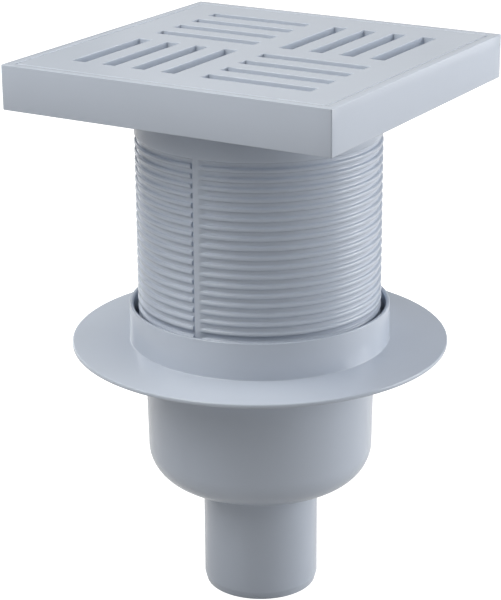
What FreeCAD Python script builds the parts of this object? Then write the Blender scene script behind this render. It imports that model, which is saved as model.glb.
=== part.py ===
import FreeCAD, Part

import math
import os

# Floor gully with a water trap: a square inlet frame on a ribbed neck, which slides and
# turns in the collar of a flanged trap bowl. All sizes are in millimetres.
# The origin is the centre of the outlet's lower end, +Z is up, and -Y is the face of
# the frame that stands over the neck's plain strip.

# Outlet spigot
outlet_dia = 50.0
outlet_wall = 1.8
outlet_chamfer_height = 3.5
outlet_chamfer_depth = 0.9
spigot_length = 51.0

# Trap bowl
bowl_depth = 62.7
bowl_top_dia = 99.1
bowl_base_dia = 97.0
bowl_corner_radius = 15.6
bowl_wall = 2.0

# Flange for the floor membrane
flange_dia = 161.0
flange_thickness = 1.8
flange_edge_radius = 0.4

# Collar that takes the neck
collar_bore = 107.9
collar_wall = 1.7
collar_height = 16.1
collar_lead_in = 0.6

# Water trap
water_seal_depth = 50.0
bell_floor_gap = 10.0

# Bell over the standpipe
bell_bore = 69.0
bell_wall = 1.8
bell_corner_radius = 7.0
bell_head_room = 12.0
bell_fin_count = 4
bell_fin_thickness = 1.6
bell_fin_seat = 3.0
bell_fin_guide = 12.0
bell_guide_clearance = 0.3
grip_length = 34.0
grip_thickness = 3.2
grip_height = 15.0
grip_corner_radius = 5.0

# Ribbed neck
neck_length = 106.1
neck_dia = 103.9
neck_wall = 2.0
neck_top_band = 16.0
neck_end_land = 2.5
groove_pitch = 4.03
groove_height = 2.25
groove_depth = 1.2
groove_draft = 0.15
neck_mouth_chamfer = 1.5

# Strips that cross the neck's grooves on two sides, each with a gap through the rings on
# its left. They stand back from the rings by the setback.
strip_width = 2.5
strip_setback = 0.1
strip_gap = 1.0
strip_gap_depth = 1.1

# Seal ring in the neck's lowest groove
seal_clearance = 0.05
seal_lip_height = 1.1
seal_lip_shoulder = 0.5

# Inlet frame
frame_side = 150.0
frame_height = 18.5
frame_corner_radius = 0.6
frame_edge_radius = 0.3
rim_width = 4.0
ledge_width = 5.0
ledge_thickness = 2.5
skirt_wall = 2.5
tray_wall = 2.5
tray_depth = 13.0
tray_floor = 2.5
frame_rib_count = 8
frame_rib_thickness = 2.0

# Grate
grate_gap = 0.4
grate_thickness = 5.0
grate_corner_radius = 1.0
slot_width = 6.4
slot_length = 48.7
slot_pitch = 14.1
slots_per_group = 4
group_gap = 12.0
grate_rib_width = 2.5
grate_rib_depth = 3.0
grate_rib_inset = 2.0

# Modelling aids: how far a cutting shape runs past a face, and the smallest length
cut_margin = 1.0
tolerance = 1e-6

# Levels up from the outlet's lower end
bowl_base_z = spigot_length
bowl_floor_z = bowl_base_z + bowl_wall
flange_base_z = bowl_base_z + bowl_depth
flange_top_z = flange_base_z + flange_thickness
collar_top_z = flange_top_z + collar_height
bell_rim_z = bowl_floor_z + bell_floor_gap
standpipe_top_z = bell_rim_z + water_seal_depth
bell_crown_z = standpipe_top_z + bell_head_room
bell_top_z = bell_crown_z + bell_wall
neck_base_z = flange_top_z
frame_base_z = neck_base_z + neck_length
frame_top_z = frame_base_z + frame_height
ledge_z = frame_top_z - grate_thickness
tray_floor_z = frame_top_z - tray_depth

# Radii that more than one piece shares
outlet_radius = outlet_dia / 2
outlet_bore_radius = outlet_radius - outlet_wall
neck_radius = neck_dia / 2
groove_radius = neck_radius - groove_depth
neck_bore_radius = groove_radius - neck_wall
collar_bore_radius = collar_bore / 2
bell_bore_radius = bell_bore / 2
bell_radius = bell_bore_radius + bell_wall

# Number of grooves that fit between the neck's plain top band and its plain end
first_groove_z = frame_base_z - neck_top_band
groove_room = first_groove_z - neck_base_z - neck_end_land - groove_height
groove_count = 1 + int(groove_room / groove_pitch)
seal_groove_top_z = first_groove_z - (groove_count - 1) * groove_pitch
strip_base_z = seal_groove_top_z + (groove_pitch - groove_height) / 2


def corner_arc(before, corner, after, radius):
    """Start, middle and end of the arc that rounds a corner of a flat outline."""
    to_before = (before - corner).normalize()
    to_after = (after - corner).normalize()
    half_angle = to_before.getAngle(to_after) / 2
    reach = radius / math.tan(half_angle)
    bisector = (to_before + to_after).normalize()
    centre = corner + bisector * (radius / math.sin(half_angle))
    middle = centre - bisector * radius
    return corner + to_before * reach, middle, corner + to_after * reach


def rounded_outline(corners):
    """Closed wire in the XZ plane through (x, z, rounding radius) corners."""
    points = [FreeCAD.Vector(x, 0, z) for x, z, radius in corners]
    radii = [radius for x, z, radius in corners]
    edges = []
    stops = []
    for i, point in enumerate(points):
        if radii[i] > 0:
            after = points[(i + 1) % len(points)]
            start, middle, end = corner_arc(points[i - 1], point, after, radii[i])
            stops.append((start, end))
            edges.append(Part.Arc(start, middle, end).toShape())
        else:
            stops.append((point, point))
    for i in range(len(points)):
        start = stops[i - 1][1]
        end = stops[i][0]
        if start.distanceToPoint(end) > tolerance:
            edges.append(Part.LineSegment(start, end).toShape())
    return Part.Wire(Part.__sortEdges__(edges))


def turned(corners):
    """Solid of revolution about Z from (radius, height, rounding radius) corners."""
    face = Part.Face(rounded_outline(corners))
    return face.revolve(FreeCAD.Vector(0, 0, 0), FreeCAD.Vector(0, 0, 1), 360)


def block(x0, x1, y0, y1, z0, z1):
    """Box between two corners."""
    return Part.makeBox(x1 - x0, y1 - y0, z1 - z0, FreeCAD.Vector(x0, y0, z0))


def square_block(side, z0, z1):
    """Square box about the Z axis."""
    return block(-side / 2, side / 2, -side / 2, side / 2, z0, z1)


def upright_edges(shape, side):
    """The four vertical edges at the corners of a square block."""
    found = []
    for edge in shape.Edges:
        middle = edge.CenterOfMass
        run = edge.Vertexes[0].Point - edge.Vertexes[-1].Point
        upright = abs(run.x) < tolerance and abs(run.y) < tolerance
        off_corner = max(abs(abs(middle.x) - side / 2), abs(abs(middle.y) - side / 2))
        if upright and off_corner < tolerance:
            found.append(edge)
    return found


def turned_about_z(shape, angle):
    """Copy of a shape, turned about the Z axis by an angle in degrees."""
    copy = shape.copy()
    copy.rotate(FreeCAD.Vector(0, 0, 0), FreeCAD.Vector(0, 0, 1), angle)
    return copy


def make_body():
    """Outlet, standpipe, bowl, flange and collar, which are one moulding."""
    inner_top_radius = bowl_top_dia / 2 - bowl_wall
    inner_base_radius = bowl_base_dia / 2 - bowl_wall
    inner_corner = max(bowl_corner_radius - bowl_wall, 0)
    collar_radius = collar_bore_radius + collar_wall
    flange_radius = flange_dia / 2
    return turned([
        (outlet_bore_radius, 0, 0),
        (outlet_radius - outlet_chamfer_depth, 0, 0),
        (outlet_radius, outlet_chamfer_height, 0),
        (outlet_radius, bowl_base_z, 0),
        (bowl_base_dia / 2, bowl_base_z, bowl_corner_radius),
        (bowl_top_dia / 2, flange_base_z, 0),
        (flange_radius, flange_base_z, flange_edge_radius),
        (flange_radius, flange_top_z, flange_edge_radius),
        (collar_radius, flange_top_z, 0),
        (collar_radius, collar_top_z, 0),
        (collar_bore_radius + collar_lead_in, collar_top_z, 0),
        (collar_bore_radius, collar_top_z - collar_lead_in, 0),
        (collar_bore_radius, flange_top_z, 0),
        (inner_top_radius, flange_top_z, 0),
        (inner_base_radius, bowl_floor_z, inner_corner),
        (outlet_radius, bowl_floor_z, 0),
        (outlet_radius, standpipe_top_z, 0),
        (outlet_bore_radius, standpipe_top_z, 0),
    ])


def make_bell_fin():
    """Fin inside the bell that sits on the standpipe's rim and centres on its wall."""
    inner = outlet_radius - bell_fin_seat
    guide = outlet_radius + bell_guide_clearance
    outer = bell_bore_radius + bell_wall / 2
    half = bell_fin_thickness / 2
    seat = block(inner, guide, -half, half, standpipe_top_z, bell_crown_z + bell_wall / 2)
    guide_base_z = standpipe_top_z - bell_fin_guide
    return seat.fuse(block(guide, outer, -half, half, guide_base_z, bell_crown_z - bell_corner_radius))


def make_grip():
    """Upright finger grip on the bell's crown."""
    half = grip_length / 2
    base_z = bell_top_z - bell_wall / 2
    top_z = bell_top_z + grip_height
    outline = rounded_outline([
        (-half, base_z, 0),
        (half, base_z, 0),
        (half, top_z, grip_corner_radius),
        (-half, top_z, grip_corner_radius),
    ])
    grip = Part.Face(outline).extrude(FreeCAD.Vector(0, grip_thickness, 0))
    grip.translate(FreeCAD.Vector(0, -grip_thickness / 2, 0))
    return grip


def make_bell():
    """Removable bell that rests on the standpipe and dips into the bowl's water."""
    inner_corner = max(bell_corner_radius - bell_wall, 0)
    bell = turned([
        (0, bell_crown_z, 0),
        (bell_bore_radius, bell_crown_z, inner_corner),
        (bell_bore_radius, bell_rim_z, 0),
        (bell_radius, bell_rim_z, 0),
        (bell_radius, bell_top_z, bell_corner_radius),
        (0, bell_top_z, 0),
    ])
    fin = make_bell_fin()
    step = 360 / bell_fin_count
    fins = [turned_about_z(fin, step / 2 + i * step) for i in range(bell_fin_count)]
    return bell.multiFuse(fins + [make_grip()])


def neck_corners():
    """Outline of the neck's wall, down the grooved outside and up the bore."""
    wall_top_z = tray_floor_z
    corners = [(neck_bore_radius, wall_top_z, 0), (neck_radius, wall_top_z, 0)]
    for i in range(groove_count):
        top_z = first_groove_z - i * groove_pitch
        base_z = top_z - groove_height
        corners.append((neck_radius, top_z, 0))
        corners.append((groove_radius, top_z - groove_draft, 0))
        corners.append((groove_radius, base_z + groove_draft, 0))
        corners.append((neck_radius, base_z, 0))
    corners.append((neck_radius, neck_base_z, 0))
    corners.append((neck_bore_radius, neck_base_z, 0))
    return corners


def make_strip():
    """Strip across the grooves above the seal, whose left side lies on the -Y centre plane."""
    outer = neck_radius - strip_setback
    inner = groove_radius - neck_wall / 2
    top_z = first_groove_z + cut_margin
    wall = Part.makeCylinder(outer, top_z - strip_base_z, FreeCAD.Vector(0, 0, strip_base_z))
    return wall.common(block(0, strip_width, -outer, -inner, strip_base_z, top_z))


def make_strip_gap():
    """Gap beside the strip, cut through the rings but not quite to the grooves' floor."""
    outer = neck_radius + cut_margin
    inner = groove_radius - neck_wall / 2
    base_z = seal_groove_top_z + groove_pitch - groove_height / 2
    gap = block(-strip_gap, 0, -outer, -inner, base_z, first_groove_z - groove_height / 2)
    return gap.cut(Part.makeCylinder(neck_radius - strip_gap_depth, first_groove_z))


def make_frame_pocket():
    """Hollow under the frame, between its skirt, the tray and the neck, less the ribs."""
    inside = frame_side - 2 * skirt_wall
    tray_outside = frame_side - 2 * (rim_width + ledge_width - tray_wall)
    roof_z = ledge_z - ledge_thickness
    tray_base_z = tray_floor_z - tray_floor
    hollow = square_block(inside, frame_base_z, roof_z)
    hollow = hollow.cut(square_block(tray_outside, tray_base_z, roof_z))
    half = frame_rib_thickness / 2
    rib = block(0, frame_side, -half, half, frame_base_z, roof_z)
    step = 360 / frame_rib_count
    ribs = [turned_about_z(rib, i * step) for i in range(frame_rib_count)]
    return hollow.cut(ribs)


def make_neck_frame():
    """Square inlet frame and ribbed neck, which are one moulding."""
    frame = square_block(frame_side, frame_base_z, frame_top_z)
    frame = frame.makeFillet(frame_corner_radius, upright_edges(frame, frame_side))
    rim_edges = [edge for edge in frame.Edges if edge.BoundBox.ZMin > frame_top_z - tolerance]
    frame = frame.makeFillet(frame_edge_radius, rim_edges)
    frame = frame.cut(make_frame_pocket())
    opening_side = frame_side - 2 * rim_width
    tray_side = opening_side - 2 * ledge_width
    recess = square_block(opening_side, ledge_z, frame_top_z + cut_margin)
    recess = recess.makeFillet(grate_corner_radius + grate_gap, upright_edges(recess, opening_side))
    tray = square_block(tray_side, tray_floor_z, ledge_z)
    ringed_neck = turned(neck_corners())
    ringed_neck = ringed_neck.cut([make_strip_gap(), turned_about_z(make_strip_gap(), 180)])
    whole = frame.multiFuse([ringed_neck, make_strip(), turned_about_z(make_strip(), 180)])
    bore = Part.makeCylinder(neck_bore_radius, ledge_z - neck_base_z + cut_margin,
                             FreeCAD.Vector(0, 0, neck_base_z - cut_margin))
    mouth = Part.makeCone(neck_bore_radius, neck_bore_radius + neck_mouth_chamfer, neck_mouth_chamfer,
                          FreeCAD.Vector(0, 0, tray_floor_z - neck_mouth_chamfer))
    return whole.cut([recess, tray, bore, mouth])


def make_seal():
    """Ring in the neck's lowest groove, whose lip reaches the collar's bore."""
    top_z = seal_groove_top_z - groove_draft - seal_clearance
    base_z = seal_groove_top_z - groove_height + groove_draft + seal_clearance
    middle_z = (top_z + base_z) / 2
    root = groove_radius + seal_clearance
    tip = collar_bore_radius - seal_clearance
    shoulder = neck_radius + seal_lip_shoulder
    return turned([
        (root, base_z, 0),
        (shoulder, base_z, 0),
        (tip, middle_z - seal_lip_height / 2, 0),
        (tip, middle_z + seal_lip_height / 2, 0),
        (shoulder, top_z, 0),
        (root, top_z, 0),
    ])


def slot_group(along_x):
    """Slots of one quarter of the grate, about the group's own centre."""
    span = (slots_per_group - 1) * slot_pitch
    base_z = ledge_z - cut_margin
    top_z = frame_top_z + cut_margin
    low = -slot_length / 2
    high = slot_length / 2
    slots = []
    for i in range(slots_per_group):
        offset = i * slot_pitch - span / 2
        near = offset - slot_width / 2
        far = offset + slot_width / 2
        if along_x:
            slots.append(block(low, high, near, far, base_z, top_z))
        else:
            slots.append(block(near, far, low, high, base_z, top_z))
    return slots


def grate_slots():
    """All the slots: along X in two opposite quarters, along Y in the other two."""
    group_span = (slots_per_group - 1) * slot_pitch + slot_width
    centre = (group_gap + max(group_span, slot_length)) / 2
    slots = []
    for x_side in (-1, 1):
        for y_side in (-1, 1):
            for slot in slot_group(along_x=x_side != y_side):
                slot.translate(FreeCAD.Vector(x_side * centre, y_side * centre, 0))
                slots.append(slot)
    return slots


def grate_ribs():
    """Stiffening ribs under the grate: a square inside the ledge and a cross."""
    tray_side = frame_side - 2 * (rim_width + ledge_width)
    outer = tray_side - 2 * grate_rib_inset
    base_z = ledge_z - grate_rib_depth
    square = square_block(outer, base_z, ledge_z)
    square = square.cut(square_block(outer - 2 * grate_rib_width, base_z, ledge_z))
    half = grate_rib_width / 2
    along_x = block(-outer / 2, outer / 2, -half, half, base_z, ledge_z)
    along_y = block(-half, half, -outer / 2, outer / 2, base_z, ledge_z)
    return [square, along_x, along_y]


def make_grate():
    """Lift-out grate plate, flush with the frame's rim."""
    side = frame_side - 2 * (rim_width + grate_gap)
    plate = square_block(side, ledge_z, frame_top_z)
    plate = plate.makeFillet(grate_corner_radius, upright_edges(plate, side))
    plate = plate.cut(grate_slots())
    return plate.multiFuse(grate_ribs())


pieces = {
    "trap_body": make_body,
    "trap_bell": make_bell,
    "neck_seal": make_seal,
    "neck_frame": make_neck_frame,
    "grate": make_grate,
}

os.makedirs("parts", exist_ok=True)
for name, make in pieces.items():
    shape = make().removeSplitter()
    shape.exportStep("parts/" + name + ".step")
    print(name, "solids", len(shape.Solids), "valid", shape.isValid(), "volume", round(shape.Volume))
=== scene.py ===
import math

import bmesh
import bpy
from mathutils import Matrix, Vector


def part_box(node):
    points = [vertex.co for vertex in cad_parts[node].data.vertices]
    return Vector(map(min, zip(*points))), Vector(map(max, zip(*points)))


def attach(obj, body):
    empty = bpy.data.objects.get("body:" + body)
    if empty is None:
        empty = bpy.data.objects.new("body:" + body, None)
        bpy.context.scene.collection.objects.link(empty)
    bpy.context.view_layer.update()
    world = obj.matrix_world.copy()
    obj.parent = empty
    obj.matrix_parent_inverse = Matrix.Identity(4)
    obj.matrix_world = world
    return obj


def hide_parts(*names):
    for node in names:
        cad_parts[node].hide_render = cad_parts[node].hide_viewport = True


# Floor gully with a water trap, in pale moulded plastic. Blender works in metres: the
# part's sizes are millimetres times mm. The trap body, the frame with its neck and the
# grate are new meshes with rounded edges, and the bell and the seal keep the frame's.

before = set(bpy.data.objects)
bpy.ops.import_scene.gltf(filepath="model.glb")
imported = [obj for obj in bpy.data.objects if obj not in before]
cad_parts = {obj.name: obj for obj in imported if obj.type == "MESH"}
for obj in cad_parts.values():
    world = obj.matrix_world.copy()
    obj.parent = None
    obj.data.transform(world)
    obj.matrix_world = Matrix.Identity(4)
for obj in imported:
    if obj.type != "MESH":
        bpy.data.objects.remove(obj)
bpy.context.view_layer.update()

mm = 0.001

# Fineness of the meshes
turned_steps = 180
side_step = math.radians(3)
corner_steps = 4
column_clearance = 0.4 * side_step
rounding_step = math.radians(30)
rounding_facet = 0.8 * mm
rounding_share = 0.95
bevel_segments = 3
crease_angle = math.radians(35)
weld_distance = 0.002 * mm
tolerance = 0.01 * mm

# Outlet spigot and standpipe
outlet_radius = 25 * mm
outlet_bore_radius = 23.2 * mm
outlet_chamfer_height = 3.5 * mm
outlet_chamfer_depth = 0.9 * mm
bowl_base_z = 51 * mm
standpipe_top_z = 113 * mm

# Trap bowl
bowl_top_radius = 49.55 * mm
bowl_base_radius = 48.5 * mm
bowl_corner_radius = 15.6 * mm
bowl_wall = 2 * mm

# Flange and collar
body_low, body_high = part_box("trap_body")
flange_radius = body_high.x
flange_base_z = 113.7 * mm
flange_top_z = 115.5 * mm
flange_edge_radius = 0.6 * mm
collar_bore_radius = 53.95 * mm
collar_radius = 55.65 * mm
collar_lead_in = 0.6 * mm

# Ribbed neck
neck_low, neck_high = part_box("neck_frame")
neck_base_z = neck_low.z
neck_radius = 51.95 * mm
neck_bore_radius = 48.75 * mm
neck_mouth_chamfer = 1.5 * mm
groove_radius = 50.75 * mm
groove_pitch = 4.03 * mm
groove_height = 2.25 * mm
groove_draft = 0.15 * mm
groove_count = 22
first_groove_z = 205.6 * mm

# Plain strips that interrupt the rings: a gap on the left of each, a ramp on the right
strip_width = 2.2 * mm
strip_gap = 1 * mm
strip_ramp = 3 * mm
flank_draft = 0.1 * mm

# Columns of points near a strip: distances left of its gap, shares of its width, shares of the
# ramp's length with the share of a groove's depth there, and a distance right of the ramp
gap_approach = [2.6 * mm, 1.4 * mm, 0.7 * mm, 0.25 * mm]
strip_shares = [0.15, 0.35, 0.65, 1]
ramp_shares = [(0.25, 0.2), (0.5, 0.5), (0.75, 0.8), (1, 1)]
ramp_recession = 1.6 * mm

# Lowest groove, which holds the seal, and the strips' lower end
seal_groove_top_z = first_groove_z - (groove_count - 1) * groove_pitch
strip_base_z = seal_groove_top_z + groove_pitch - groove_height

# Inlet frame
frame_half = neck_high.x
frame_top_z = neck_high.z
frame_base_z = 221.6 * mm
frame_corner_radius = 0.6 * mm
skirt_half = 72.5 * mm
tray_outside_half = 68.5 * mm
tray_half = 66 * mm
tray_base_z = 224.6 * mm
tray_floor_z = 227.1 * mm
pocket_roof_z = 232.6 * mm
ledge_z = 235.1 * mm
recess_half = 71 * mm
recess_corner_radius = 1.4 * mm
rib_thickness = 2 * mm
rib_count = 8
rib_setback = 0.2 * mm
rib_embed = 0.6 * mm

# Grate
grate_low, grate_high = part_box("grate")
grate_half = grate_high.x
grate_corner_radius = 1 * mm
slot_width = 6.4 * mm
slot_length = 48.7 * mm
slot_pitch = 14.1 * mm
slots_per_group = 4
group_gap = 12 * mm
grate_rib_width = 2.5 * mm
grate_rib_inset = 2 * mm
slot_draft = 0.5 * mm

# Rounding of moulded edges
fine_edge = 0.2 * mm
rim_edge = 0.25 * mm
soft_edge = 0.35 * mm
foot_edge = 0.5 * mm
ring_edge = 0.85 * mm
groove_edge = 0.6 * mm

# Plastics and rubber: linear colours, clouding, uneven gloss and moulded grain
moulding_colour = (0.55, 0.607, 0.7)
bell_colour = (0.52, 0.575, 0.665)
rubber_colour = (0.03, 0.03, 0.032)
refraction = 1.49
cloud_scale = 28
cloud_detail = 4
cloud_tint = 0.025
gloss_spread = 0.03
grain_scale = 1400
grain_detail = 3
grain_depth = 0.02 * mm

# Floor and surroundings, in metres and shares of white
floor_half = 6
floor_grey = 0.35
floor_roughness = 0.9
floor_glow_in_reflections = 0.5
world_strength = 0.205

# Lamps: azimuth from -Y towards +X and elevation in degrees, then distance, width and height
# in metres, power in watts, and warmth where the light isn't white
lamp_target = Vector((0, 0, 0.12))
lamp_floor_clearance = 0.02
lamps = {
    "right": (120, 8, 1.4, 0.72, 0.8, 9.8),
    "right_back": (135, 8, 1.4, 0.36, 1.1, 2.7),
    "right_far_back": (150, 8, 1.4, 0.36, 1.1, 2.6),
    "right_high": (150, 40, 1.4, 0.7, 0.7, 1.85),
    "front_right_high": (60, 40, 1.4, 0.7, 0.7, 0.65),
    "front_left_top": (-45, 68, 1.4, 0.6, 0.6, 8.2, 0.12),
    "left_high": (-60, 40, 1.4, 0.7, 0.7, 4.5),
    "front_left_near": (-15, 40, 0.7, 0.35, 0.35, 0.92),
    "left_back": (-120, 8, 1.4, 0.36, 1.1, 2.3),
    "back_left": (-150, 8, 1.4, 0.36, 1.1, 0.27),
    "back": (-165, 8, 1.4, 0.36, 1.1, 0.3),
}

# Camera: place in metres, and lens and sensor in millimetres as Blender takes them
camera_place = (0.409905, -0.694966, 0.415672)
camera_yaw = math.radians(30.812)
camera_pitch = math.radians(19.444)
camera_roll = math.radians(-0.374)
camera_lens = 119.789
camera_sensor_width = 36
camera_clip_start = 0.01


def rounded(corners):
    """Points (size, height, plan radius) along a section, with its corners rounded.

    Each corner is (size, height, rounding radius) or has a fourth number, the radius of
    the square's corners in plan. The first and the last corner stay sharp.
    """
    points = []
    for i, corner in enumerate(corners):
        size, z, radius = corner[:3]
        plan_radius = corner[3] if len(corner) > 3 else 0
        here = Vector((size, z))
        if radius == 0 or i == 0 or i == len(corners) - 1:
            points.append((size, z, plan_radius))
            continue
        to_before = Vector(corners[i - 1][:2]) - here
        to_after = Vector(corners[i + 1][:2]) - here
        half_angle = to_before.angle(to_after) / 2
        room = min(to_before.length * radius / (radius + corners[i - 1][2]),
                   to_after.length * radius / (radius + corners[i + 1][2]))
        reach = min(radius / math.tan(half_angle), rounding_share * room)
        radius = reach * math.tan(half_angle)
        bisector = (to_before.normalized() + to_after.normalized()).normalized()
        centre = here + bisector * (radius / math.sin(half_angle))
        start = here + to_before.normalized() * reach - centre
        turn = math.pi - 2 * half_angle
        if start.x * bisector.y - start.y * bisector.x < 0:
            turn = -turn
        steps = math.ceil(max(abs(turn) / rounding_step, abs(turn) * radius / rounding_facet))
        for k in range(steps + 1):
            angle = -turn * k / steps
            spoke = Vector((start.x * math.cos(angle) - start.y * math.sin(angle),
                            start.x * math.sin(angle) + start.y * math.cos(angle)))
            point = centre + spoke
            points.append((point.x, point.y, plan_radius + point.x - size))
    return points


def mesh_object(name, points, faces):
    """New object from points and faces, smooth but for creases sharper than crease_angle."""
    mesh = bpy.data.meshes.new(name)
    mesh.from_pydata(points, [], faces)
    mesh.validate()
    mesh.shade_smooth()
    mesh.set_sharp_from_angle(angle=crease_angle)
    piece = bpy.data.objects.new(name, mesh)
    bpy.context.scene.collection.objects.link(piece)
    return piece


def closed_loft(name, rings):
    """Object skinned over rings with equal numbers of points, the last joined to the first."""
    points = [point for ring in rings for point in ring]
    count = len(rings[0])
    faces = []
    for i in range(len(rings)):
        low = i * count
        high = (i + 1) % len(rings) * count
        for k in range(count):
            after = (k + 1) % count
            faces.append((low + k, low + after, high + after, high + k))
    return mesh_object(name, points, faces)


def circle_ring(radius, z):
    """Evenly spaced points on a circle about the Z axis."""
    step = math.tau / turned_steps
    angles = [k * step for k in range(turned_steps)]
    return [(radius * math.cos(angle), radius * math.sin(angle), z) for angle in angles]


def make_body():
    """Outlet, standpipe, bowl, flange and collar, turned from one section."""
    section = rounded([
        (outlet_bore_radius, body_low.z + bowl_wall, 0),
        (outlet_bore_radius, body_low.z, fine_edge),
        (outlet_radius - outlet_chamfer_depth, body_low.z, soft_edge),
        (outlet_radius, body_low.z + outlet_chamfer_height, soft_edge),
        (outlet_radius, bowl_base_z, soft_edge),
        (bowl_base_radius, bowl_base_z, bowl_corner_radius),
        (bowl_top_radius, flange_base_z, soft_edge),
        (flange_radius, flange_base_z, flange_edge_radius),
        (flange_radius, flange_top_z, flange_edge_radius),
        (collar_radius, flange_top_z, foot_edge),
        (collar_radius, body_high.z, soft_edge),
        (collar_bore_radius + collar_lead_in, body_high.z, fine_edge),
        (collar_bore_radius, body_high.z - collar_lead_in, fine_edge),
        (collar_bore_radius, flange_top_z, fine_edge),
        (bowl_top_radius - bowl_wall, flange_top_z, soft_edge),
        (bowl_base_radius - bowl_wall, bowl_base_z + bowl_wall, bowl_corner_radius - bowl_wall),
        (outlet_radius, bowl_base_z + bowl_wall, soft_edge),
        (outlet_radius, standpipe_top_z, soft_edge),
        (outlet_bore_radius, standpipe_top_z, soft_edge),
        (outlet_bore_radius, bowl_base_z, 0),
    ])
    rings = [circle_ring(radius, z) for radius, z, plan_radius in section]
    return closed_loft("body_moulding", rings)


def strip_places():
    """Places across the face with the greatest and the least depth of the wall there.

    The widths between them grow and shrink slowly, so that the shading stays even.
    """
    depth = neck_radius - groove_radius
    left = -strip_gap - flank_draft
    places = [(left - distance, depth, 0) for distance in gap_approach]
    places += [
        (left, depth, 0),
        (-strip_gap, depth, depth),
        (-flank_draft, depth, depth),
        (0, flank_draft, 0),
        (flank_draft, 0, 0),
    ]
    places += [(share * strip_width, 0, 0) for share in strip_shares]
    for share, fall in ramp_shares:
        places.append((strip_width + share * strip_ramp, fall * depth, 0))
    places.append((strip_width + strip_ramp + ramp_recession, depth, 0))
    return places


def neck_columns():
    """Columns round the neck: angle from the -Y face's middle, depths and place in a corner.

    Only the columns near a strip have depths, and only those at a corner of the frame have
    a place in it: the side that the corner ends and the share of its turn.
    """
    side_end = math.pi / 4 - side_step
    side_count = round(2 * side_end / side_step)
    columns = []
    for side in range(4):
        middle = side * math.pi / 2
        places = [(-side_end + k * side_step, None) for k in range(side_count + 1)]
        if side % 2 == 0:
            strip = [(math.asin(x / neck_radius), (deepest, least))
                     for x, deepest, least in strip_places()]
            low = strip[0][0] - column_clearance
            high = strip[-1][0] + column_clearance
            places = [place for place in places if not low < place[0] < high]
            places = sorted(places + strip)
        columns += [(middle + angle, depths, None) for angle, depths in places]
        for k in range(corner_steps + 1):
            share = k / corner_steps
            angle = middle + math.pi / 4 + (share - 0.5) * side_step
            columns.append((angle, None, (side, share)))
    return columns


neck_grid = neck_columns()


def neck_wall(radius, z, depths):
    """Radius of the neck's outside at one column, which a strip or its gap may change."""
    deepest, least = depths
    if strip_base_z - ring_edge < z < first_groove_z + ring_edge:
        radius = max(radius, neck_radius - deepest)
    if strip_base_z < z < first_groove_z:
        radius = min(radius, neck_radius - least)
    return radius


def neck_ring(radius, z):
    """Points round the neck, whose rings the strips and their gaps interrupt."""
    outside = radius > neck_bore_radius + neck_mouth_chamfer
    ring = []
    for angle, depths, corner in neck_grid:
        here = neck_wall(radius, z, depths) if outside and depths else radius
        ring.append((here * math.sin(angle), -here * math.cos(angle), z))
    return ring


def square_ring(half, z, plan_radius):
    """Points round a square with rounded corners, column by column as in neck_ring."""
    plan_radius = max(plan_radius, fine_edge)
    ring = []
    for angle, depths, corner in neck_grid:
        if corner is None:
            side = round(angle / (math.pi / 2))
            across = half * math.tan(angle - side * math.pi / 2)
            x, y = across, -half
        else:
            side, share = corner
            turn = share * math.pi / 2
            x = half - plan_radius + plan_radius * math.sin(turn)
            y = -half + plan_radius - plan_radius * math.cos(turn)
        turn = side * math.pi / 2
        ring.append((x * math.cos(turn) - y * math.sin(turn),
                     x * math.sin(turn) + y * math.cos(turn), z))
    return ring


def neck_section():
    """Section of the neck's wall, from the tray's underside down to its end and up the bore."""
    corners = [
        (neck_radius, tray_base_z, 0),
        (neck_radius, frame_base_z - fine_edge, 0),
        (neck_radius, first_groove_z + 2 * ring_edge, 0),
    ]
    for i in range(groove_count):
        top_z = first_groove_z - i * groove_pitch
        base_z = top_z - groove_height
        corners.append((neck_radius, top_z, ring_edge))
        corners.append((groove_radius, top_z - groove_draft, groove_edge))
        corners.append((groove_radius, base_z + groove_draft, groove_edge))
        corners.append((neck_radius, base_z, ring_edge))
    corners += [
        (neck_radius, neck_base_z, soft_edge),
        (neck_bore_radius, neck_base_z, soft_edge),
        (neck_bore_radius, tray_floor_z - neck_mouth_chamfer, soft_edge),
        (neck_bore_radius + neck_mouth_chamfer, tray_floor_z, 0),
    ]
    return rounded(corners)


def make_neck_frame():
    """Square inlet frame and ribbed neck: one skin over square and round rings."""
    outside = rounded([
        (recess_half, ledge_z + rim_edge, 0, recess_corner_radius),
        (recess_half, frame_top_z, rim_edge, recess_corner_radius),
        (frame_half, frame_top_z, rim_edge, frame_corner_radius),
        (frame_half, frame_base_z, soft_edge, frame_corner_radius),
        (skirt_half, frame_base_z, soft_edge, frame_corner_radius),
        (skirt_half, pocket_roof_z, soft_edge, frame_corner_radius),
        (tray_outside_half, pocket_roof_z, soft_edge, frame_corner_radius),
        (tray_outside_half, tray_base_z, soft_edge, frame_corner_radius),
        (neck_radius, tray_base_z, 0, frame_corner_radius),
    ])[:-1]
    inside = rounded([
        (neck_radius, tray_floor_z, 0, frame_corner_radius),
        (tray_half, tray_floor_z, soft_edge, frame_corner_radius),
        (tray_half, ledge_z, soft_edge, frame_corner_radius),
        (recess_half, ledge_z, fine_edge, recess_corner_radius),
        (recess_half, frame_top_z, 0, recess_corner_radius),
    ])[1:-1]
    rings = [square_ring(half, z, plan_radius) for half, z, plan_radius in outside]
    rings += [neck_ring(radius, z) for radius, z, plan_radius in neck_section()]
    rings += [square_ring(half, z, plan_radius) for half, z, plan_radius in inside]
    piece = closed_loft("frame_moulding", rings)
    for rib in make_frame_ribs():
        unite(piece, rib)
    weld(piece)
    return piece


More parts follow.
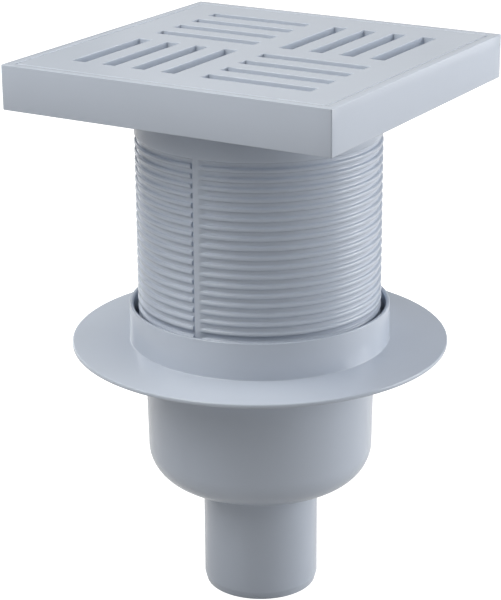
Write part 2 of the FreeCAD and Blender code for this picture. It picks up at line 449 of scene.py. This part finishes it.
def box_object(name, low, high):
    """Plain closed box between two corners."""
    points = [(x, y, z)
              for z in (low[2], high[2])
              for y in (low[1], high[1])
              for x in (low[0], high[0])]
    faces = [(0, 2, 3, 1), (4, 5, 7, 6), (0, 1, 5, 4), (2, 6, 7, 3), (0, 4, 6, 2), (1, 3, 7, 5)]
    return mesh_object(name, points, faces)


def make_frame_ribs():
    """Ribs in the pocket under the frame, from the neck out to the skirt."""
    ribs = []
    for i in range(rib_count):
        turn = i * math.tau / rib_count
        straight = i % 2 == 0
        outer = (skirt_half + rib_embed) * (1 if straight else math.sqrt(2))
        rib = box_object("frame_rib",
                         (neck_radius - rib_embed, -rib_thickness / 2, frame_base_z + rib_setback),
                         (outer, rib_thickness / 2, tray_base_z + rib_embed))
        rib.data.transform(Matrix.Rotation(turn, 4, "Z"))
        ribs.append(rib)
    return ribs


def unite(piece, other):
    """Joins another closed mesh to a piece, so that one skin is left."""
    modifier = piece.modifiers.new("unite", "BOOLEAN")
    modifier.operation = "UNION"
    modifier.solver = "EXACT"
    modifier.object = other
    graph = bpy.context.evaluated_depsgraph_get()
    mesh = bpy.data.meshes.new_from_object(piece.evaluated_get(graph))
    piece.modifiers.clear()
    piece.data = mesh
    bpy.data.objects.remove(other)


def weld(piece):
    """Merges the points that joining meshes has left in one place."""
    mesh = bmesh.new()
    mesh.from_mesh(piece.data)
    bmesh.ops.remove_doubles(mesh, verts=mesh.verts, dist=weld_distance)
    mesh.to_mesh(piece.data)
    mesh.free()


def slot_spans():
    """Plan boxes (x0, x1, y0, y1) of the slots: along X in two quarters, along Y in two."""
    group_span = (slots_per_group - 1) * slot_pitch + slot_width
    centre = (group_gap + max(group_span, slot_length)) / 2
    spans = []
    for x_side in (-1, 1):
        for y_side in (-1, 1):
            for i in range(slots_per_group):
                offset = (i - (slots_per_group - 1) / 2) * slot_pitch
                across = (offset - slot_width / 2, offset + slot_width / 2)
                along = (-slot_length / 2, slot_length / 2)
                x_span, y_span = (along, across) if x_side != y_side else (across, along)
                spans.append((x_side * centre + x_span[0], x_side * centre + x_span[1],
                              y_side * centre + y_span[0], y_side * centre + y_span[1]))
    return spans


def cell_skin(name, xs, ys, zs, solid):
    """Closed skin round the solid cells of a grid. solid says whether a point is inside."""
    middles = [[(a + b) / 2 for a, b in zip(cuts, cuts[1:])] for cuts in (xs, ys, zs)]
    filled = {
        (i, j, k)
        for i, x in enumerate(middles[0])
        for j, y in enumerate(middles[1])
        for k, z in enumerate(middles[2])
        if solid(x, y, z)
    }
    sides = [
        ((-1, 0, 0), ((0, 0, 0), (0, 0, 1), (0, 1, 1), (0, 1, 0))),
        ((1, 0, 0), ((1, 0, 0), (1, 1, 0), (1, 1, 1), (1, 0, 1))),
        ((0, -1, 0), ((0, 0, 0), (1, 0, 0), (1, 0, 1), (0, 0, 1))),
        ((0, 1, 0), ((0, 1, 0), (0, 1, 1), (1, 1, 1), (1, 1, 0))),
        ((0, 0, -1), ((0, 0, 0), (0, 1, 0), (1, 1, 0), (1, 0, 0))),
        ((0, 0, 1), ((0, 0, 1), (1, 0, 1), (1, 1, 1), (0, 1, 1))),
    ]
    numbers = {}
    faces = []
    for cell in sorted(filled):
        for step, corners in sides:
            if tuple(c + s for c, s in zip(cell, step)) in filled:
                continue
            face = []
            for corner in corners:
                node = tuple(c + s for c, s in zip(cell, corner))
                face.append(numbers.setdefault(node, len(numbers)))
            faces.append(face)
    points = [(xs[i], ys[j], zs[k]) for i, j, k in numbers]
    return mesh_object(name, points, faces)


def make_grate():
    """Slotted plate with a square and a cross of ribs under it."""
    rib_outer = tray_half - grate_rib_inset
    rib_inner = rib_outer - grate_rib_width
    cross_half = grate_rib_width / 2
    slots = slot_spans()

    def solid(x, y, z):
        if z > ledge_z:
            return not any(x0 < x < x1 and y0 < y < y1 for x0, x1, y0, y1 in slots)
        if max(abs(x), abs(y)) > rib_outer:
            return False
        return max(abs(x), abs(y)) > rib_inner or min(abs(x), abs(y)) < cross_half

    sizes = [cross_half, rib_inner, rib_outer, grate_half]
    fixed = sizes + [-size for size in sizes]
    xs = sorted({round(x, 7) for x in fixed + [edge for slot in slots for edge in slot[:2]]})
    ys = sorted({round(y, 7) for y in fixed + [edge for slot in slots for edge in slot[2:]]})
    zs = [grate_low.z, ledge_z, grate_high.z]
    piece = cell_skin("grate_moulding", xs, ys, zs, solid)
    narrow_slots(piece, slots)
    round_grate_edges(piece)
    return piece


def narrow_slots(piece, slots):
    """Draws the slots' walls in towards the plate's underside, as moulding draft."""
    for vertex in piece.data.vertices:
        place = vertex.co
        if abs(place.z - ledge_z) > tolerance:
            continue
        x, y = place.x, place.y
        for x0, x1, y0, y1 in slots:
            if x0 - tolerance < x < x1 + tolerance and y0 - tolerance < y < y1 + tolerance:
                place.x += slot_draft * ((abs(x - x0) < tolerance) - (abs(x - x1) < tolerance))
                place.y += slot_draft * ((abs(y - y0) < tolerance) - (abs(y - y1) < tolerance))


def round_grate_edges(piece):
    """Rounds the plate's upright corners, its rim and the slots' upper edges."""
    mesh = piece.data
    weights = mesh.attributes.new("bevel_weight_edge", "FLOAT", "EDGE")
    for edge in mesh.edges:
        a, b = (mesh.vertices[index].co for index in edge.vertices)
        upright = abs(a.z - b.z) > tolerance
        outer = min(abs(a.x), abs(a.y), abs(b.x), abs(b.y)) > grate_half - tolerance
        on_top = min(a.z, b.z) > grate_high.z - tolerance
        if upright and outer:
            weights.data[edge.index].value = 1
        elif on_top and edge.use_edge_sharp:
            weights.data[edge.index].value = soft_edge / grate_corner_radius
    bevel = piece.modifiers.new("edges", "BEVEL")
    bevel.limit_method = "WEIGHT"
    bevel.width = grate_corner_radius
    bevel.segments = bevel_segments
    bevel.use_clamp_overlap = False


def plastic(name, colour, roughness, grain):
    """Moulded plastic or rubber: faint clouding, a fine moulded grain and uneven gloss."""
    material = bpy.data.materials.new(name)
    material.use_nodes = True
    nodes = material.node_tree.nodes
    links = material.node_tree.links
    shader = nodes["Principled BSDF"]
    shader.inputs["IOR"].default_value = refraction
    place = nodes.new("ShaderNodeTexCoord")

    clouds = nodes.new("ShaderNodeTexNoise")
    clouds.inputs["Scale"].default_value = cloud_scale
    clouds.inputs["Detail"].default_value = cloud_detail
    links.new(place.outputs["Object"], clouds.inputs["Vector"])
    tint = nodes.new("ShaderNodeMix")
    tint.data_type = "RGBA"
    tint.inputs["A"].default_value = (*[c * (1 - cloud_tint) for c in colour], 1)
    tint.inputs["B"].default_value = (*[c * (1 + cloud_tint) for c in colour], 1)
    links.new(clouds.outputs["Fac"], tint.inputs["Factor"])
    links.new(tint.outputs["Result"], shader.inputs["Base Color"])

    gloss = nodes.new("ShaderNodeMapRange")
    gloss.inputs["To Min"].default_value = roughness - gloss_spread
    gloss.inputs["To Max"].default_value = roughness + gloss_spread
    links.new(clouds.outputs["Fac"], gloss.inputs["Value"])
    links.new(gloss.outputs["Result"], shader.inputs["Roughness"])

    fine = nodes.new("ShaderNodeTexNoise")
    fine.inputs["Scale"].default_value = grain_scale
    fine.inputs["Detail"].default_value = grain_detail
    links.new(place.outputs["Object"], fine.inputs["Vector"])
    bump = nodes.new("ShaderNodeBump")
    bump.inputs["Strength"].default_value = grain
    bump.inputs["Distance"].default_value = grain_depth
    links.new(fine.outputs["Fac"], bump.inputs["Height"])
    links.new(bump.outputs["Normal"], shader.inputs["Normal"])
    return material


def dress(piece, material):
    """Gives a piece its material."""
    piece.data.materials.clear()
    piece.data.materials.append(material)


def stand_in(piece, material, body, node):
    """Dresses a new piece, which rides on a body and takes the place of a node."""
    dress(piece, material)
    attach(piece, body)
    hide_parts(node)


def white_for_camera(material, lit_shader):
    """Adds glow that only the camera and, more weakly, reflections see, so the floor is white."""
    nodes = material.node_tree.nodes
    links = material.node_tree.links
    path = nodes.new("ShaderNodeLightPath")
    seen = nodes.new("ShaderNodeMath")
    seen.operation = "MULTIPLY_ADD"
    seen.inputs[1].default_value = floor_glow_in_reflections
    links.new(path.outputs["Is Glossy Ray"], seen.inputs[0])
    links.new(path.outputs["Is Camera Ray"], seen.inputs[2])
    glow = nodes.new("ShaderNodeEmission")
    links.new(seen.outputs["Value"], glow.inputs["Strength"])
    total = nodes.new("ShaderNodeAddShader")
    links.new(lit_shader.outputs[0], total.inputs[0])
    links.new(glow.outputs["Emission"], total.inputs[1])
    links.new(total.outputs["Shader"], nodes["Material Output"].inputs["Surface"])


def make_floor():
    """Plain pale floor, white to the camera, which lights the object softly from below."""
    corners = [(-floor_half, -floor_half, 0), (floor_half, -floor_half, 0),
               (floor_half, floor_half, 0), (-floor_half, floor_half, 0)]
    mesh = bpy.data.meshes.new("floor")
    mesh.from_pydata(corners, [], [(0, 1, 2, 3)])
    floor = bpy.data.objects.new("floor", mesh)
    bpy.context.scene.collection.objects.link(floor)
    material = bpy.data.materials.new("floor")
    material.use_nodes = True
    shader = material.node_tree.nodes["Principled BSDF"]
    shader.inputs["Base Color"].default_value = (floor_grey, floor_grey, floor_grey, 1)
    shader.inputs["Roughness"].default_value = floor_roughness
    white_for_camera(material, shader)
    mesh.materials.append(material)


def make_world():
    """White surroundings for the camera, with a soft even light on the object."""
    world = bpy.data.worlds.new("studio")
    bpy.context.scene.world = world
    world.use_nodes = True
    nodes = world.node_tree.nodes
    links = world.node_tree.links
    path = nodes.new("ShaderNodeLightPath")
    level = nodes.new("ShaderNodeMapRange")
    level.inputs["To Min"].default_value = world_strength
    level.inputs["To Max"].default_value = 1
    links.new(path.outputs["Is Camera Ray"], level.inputs["Value"])
    background = nodes["Background"]
    background.inputs["Color"].default_value = (1, 1, 1, 1)
    links.new(level.outputs["Result"], background.inputs["Strength"])


def make_lamp(name, azimuth, elevation, distance, width, height, power, warmth=0):
    """Soft rectangular lamp that faces the object and stays clear of the floor."""
    data = bpy.data.lights.new(name, "AREA")
    data.shape = "RECTANGLE"
    data.size, data.size_y = width, height
    data.energy = power
    data.color = (1, 1 - warmth / 3, 1 - warmth)
    lamp = bpy.data.objects.new(name, data)
    turn, climb = math.radians(azimuth), math.radians(elevation)
    reach = Vector((math.sin(turn) * math.cos(climb),
                    -math.cos(turn) * math.cos(climb),
                    math.sin(climb)))
    lamp.location = lamp_target + reach * distance
    lowest_z = height / 2 * math.cos(climb) + lamp_floor_clearance
    lamp.location.z = max(lamp.location.z, lowest_z)
    lamp.rotation_mode = "QUATERNION"
    lamp.rotation_quaternion = (lamp_target - lamp.location).to_track_quat("-Z", "Y")
    bpy.context.scene.collection.objects.link(lamp)


def make_camera():
    """Camera at the photograph's place, solved from the outline with the frame's real size."""
    data = bpy.data.cameras.new("camera")
    data.sensor_width = camera_sensor_width
    data.lens = camera_lens
    data.clip_start = camera_clip_start
    camera = bpy.data.objects.new("camera", data)
    bpy.context.scene.collection.objects.link(camera)
    turn = (Matrix.Rotation(camera_yaw, 4, "Z")
            @ Matrix.Rotation(math.pi / 2 - camera_pitch, 4, "X")
            @ Matrix.Rotation(camera_roll, 4, "Z"))
    camera.matrix_world = Matrix.Translation(camera_place) @ turn
    bpy.context.scene.camera = camera


moulding = plastic("moulding", moulding_colour, roughness=0.2, grain=0.08)
inner_plastic = plastic("bell", bell_colour, roughness=0.4, grain=0.3)
rubber = plastic("rubber", rubber_colour, roughness=0.6, grain=0.6)

stand_in(make_body(), moulding, "trap", "trap_body")
stand_in(make_neck_frame(), moulding, "inlet", "neck_frame")
stand_in(make_grate(), moulding, "inlet", "grate")
dress(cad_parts["trap_bell"], inner_plastic)
dress(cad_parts["neck_seal"], rubber)

make_camera()
make_floor()
make_world()
for lamp_name, settings in lamps.items():
    make_lamp(lamp_name, *settings)

bpy.context.scene.view_settings.view_transform = "Standard"
